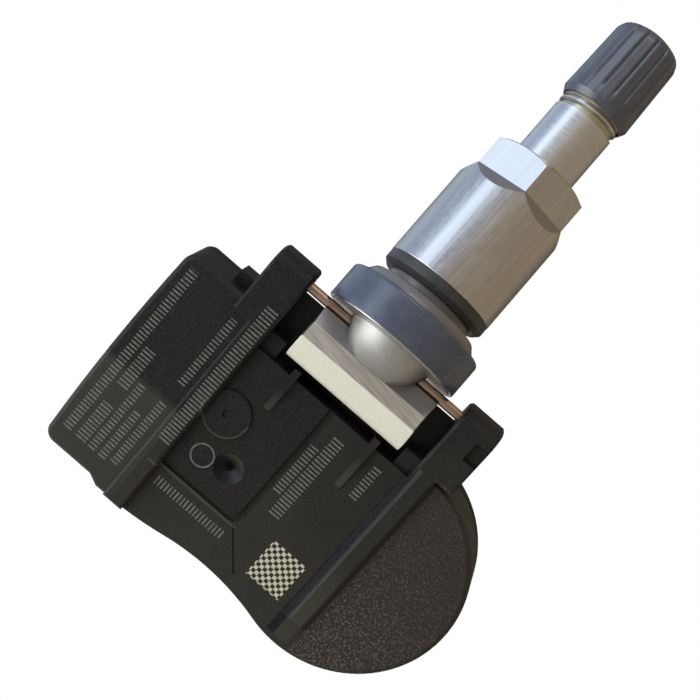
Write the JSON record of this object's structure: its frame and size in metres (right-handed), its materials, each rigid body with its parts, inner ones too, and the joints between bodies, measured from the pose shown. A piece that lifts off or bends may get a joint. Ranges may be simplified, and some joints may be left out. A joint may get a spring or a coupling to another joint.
{
  "type": "tyre pressure sensor",
  "caption": "Clamp-in tyre pressure sensor: a metal valve with collar nut and dust cap, and a flat plastic housing that swivels on a pin through the valve's ball.",
  "frame": {"origin": "on the valve axis at the rim seat, the top of the rubber seal's lip and the foot of its neck", "axes": "+Z along the valve towards its dust cap, +X along the swivel pin, and the housing's marked face looks towards -Y"},
  "size_m": [0.0508, 0.0268, 0.0803],
  "materials": {
    "valve_metal": "satin, brushed",
    "seal_rubber": "satin",
    "washer_plastic": "satin",
    "cap_plastic": "satin",
    "cap_disc_rubber": "matte",
    "core_brass": "satin",
    "core_ring": "matte",
    "core_rubber": "matte",
    "spring_steel": "satin",
    "pin_steel": "satin",
    "shell_plastic": "fine texture",
    "cover_plastic": "satin",
    "board_green": "satin",
    "chip_black": "matte",
    "gasket_rubber": "matte",
    "cell_steel": "satin",
    "tab_steel": "satin",
    "ferrite": "matte",
    "copper": "gloss",
    "ceramic": "satin"
  },
  "bodies": {
    "valve": {"valve_stem": "valve_metal", "rim_grommet": "seal_rubber", "valve_core_body": "core_brass", "valve_core_seal": "core_ring", "valve_core_spring": "spring_steel"},
    "core_plunger": {"valve_core_pin": "core_brass", "valve_core_cup": "core_rubber"},
    "washer": {"slip_washer": "washer_plastic"},
    "nut": {"collar_nut": "valve_metal"},
    "cap_disc": {"cap_seal": "cap_disc_rubber"},
    "cap": {"dust_cap": "cap_plastic"},
    "housing": {"housing_shell": "shell_plastic", "back_cover": "cover_plastic", "pivot_pin": "pin_steel", "circuit_board": "board_green", "sensor_chip": "chip_black", "port_gasket": "gasket_rubber", "coin_cell": "cell_steel", "cell_tab_top": "tab_steel", "cell_tab_bottom": "tab_steel", "antenna_strip": "tab_steel", "coil_core": "ferrite", "coil_winding": "copper", "crystal": "tab_steel", "board_capacitors": "ceramic"}
  },
  "joints": [
    {"name": "housing_swivel", "type": "hinge", "parent": "valve", "child": "housing", "pos_m": [0, 0, -0.0067], "axis": [1, 0, 0], "range_deg": [-20, 12]},
    {"name": "washer_lift", "type": "slide", "parent": "valve", "child": "washer", "axis": [0, 0, 1], "range_m": [0, 0.008]},
    {"name": "nut_turn", "type": "hinge", "parent": "washer", "child": "nut", "pos_m": [0, 0, 0.0026], "axis": [0, 0, 1], "range_deg": [0, 2885]},
    {"name": "cap_lift", "type": "slide", "parent": "valve", "child": "cap_disc", "axis": [0, 0, 1], "range_m": [0, 0.0087]},
    {"name": "cap_turn", "type": "hinge", "parent": "cap_disc", "child": "cap", "pos_m": [0, 0, 0.0382], "axis": [0, 0, 1], "range_deg": [0, 3950]},
    {"name": "core_press", "type": "slide", "parent": "valve", "child": "core_plunger", "axis": [0, 0, -1], "range_m": [0, 0.001], "stiffness_N_per_m": 1500, "deforming": ["valve_core_spring"]}
  ],
  "couplings": [
    {"joint": "nut_turn", "follows": "washer_lift", "rad_per_m": 6283.2},
    {"joint": "cap_turn", "follows": "cap_lift", "rad_per_m": 7913.3}
  ]
}
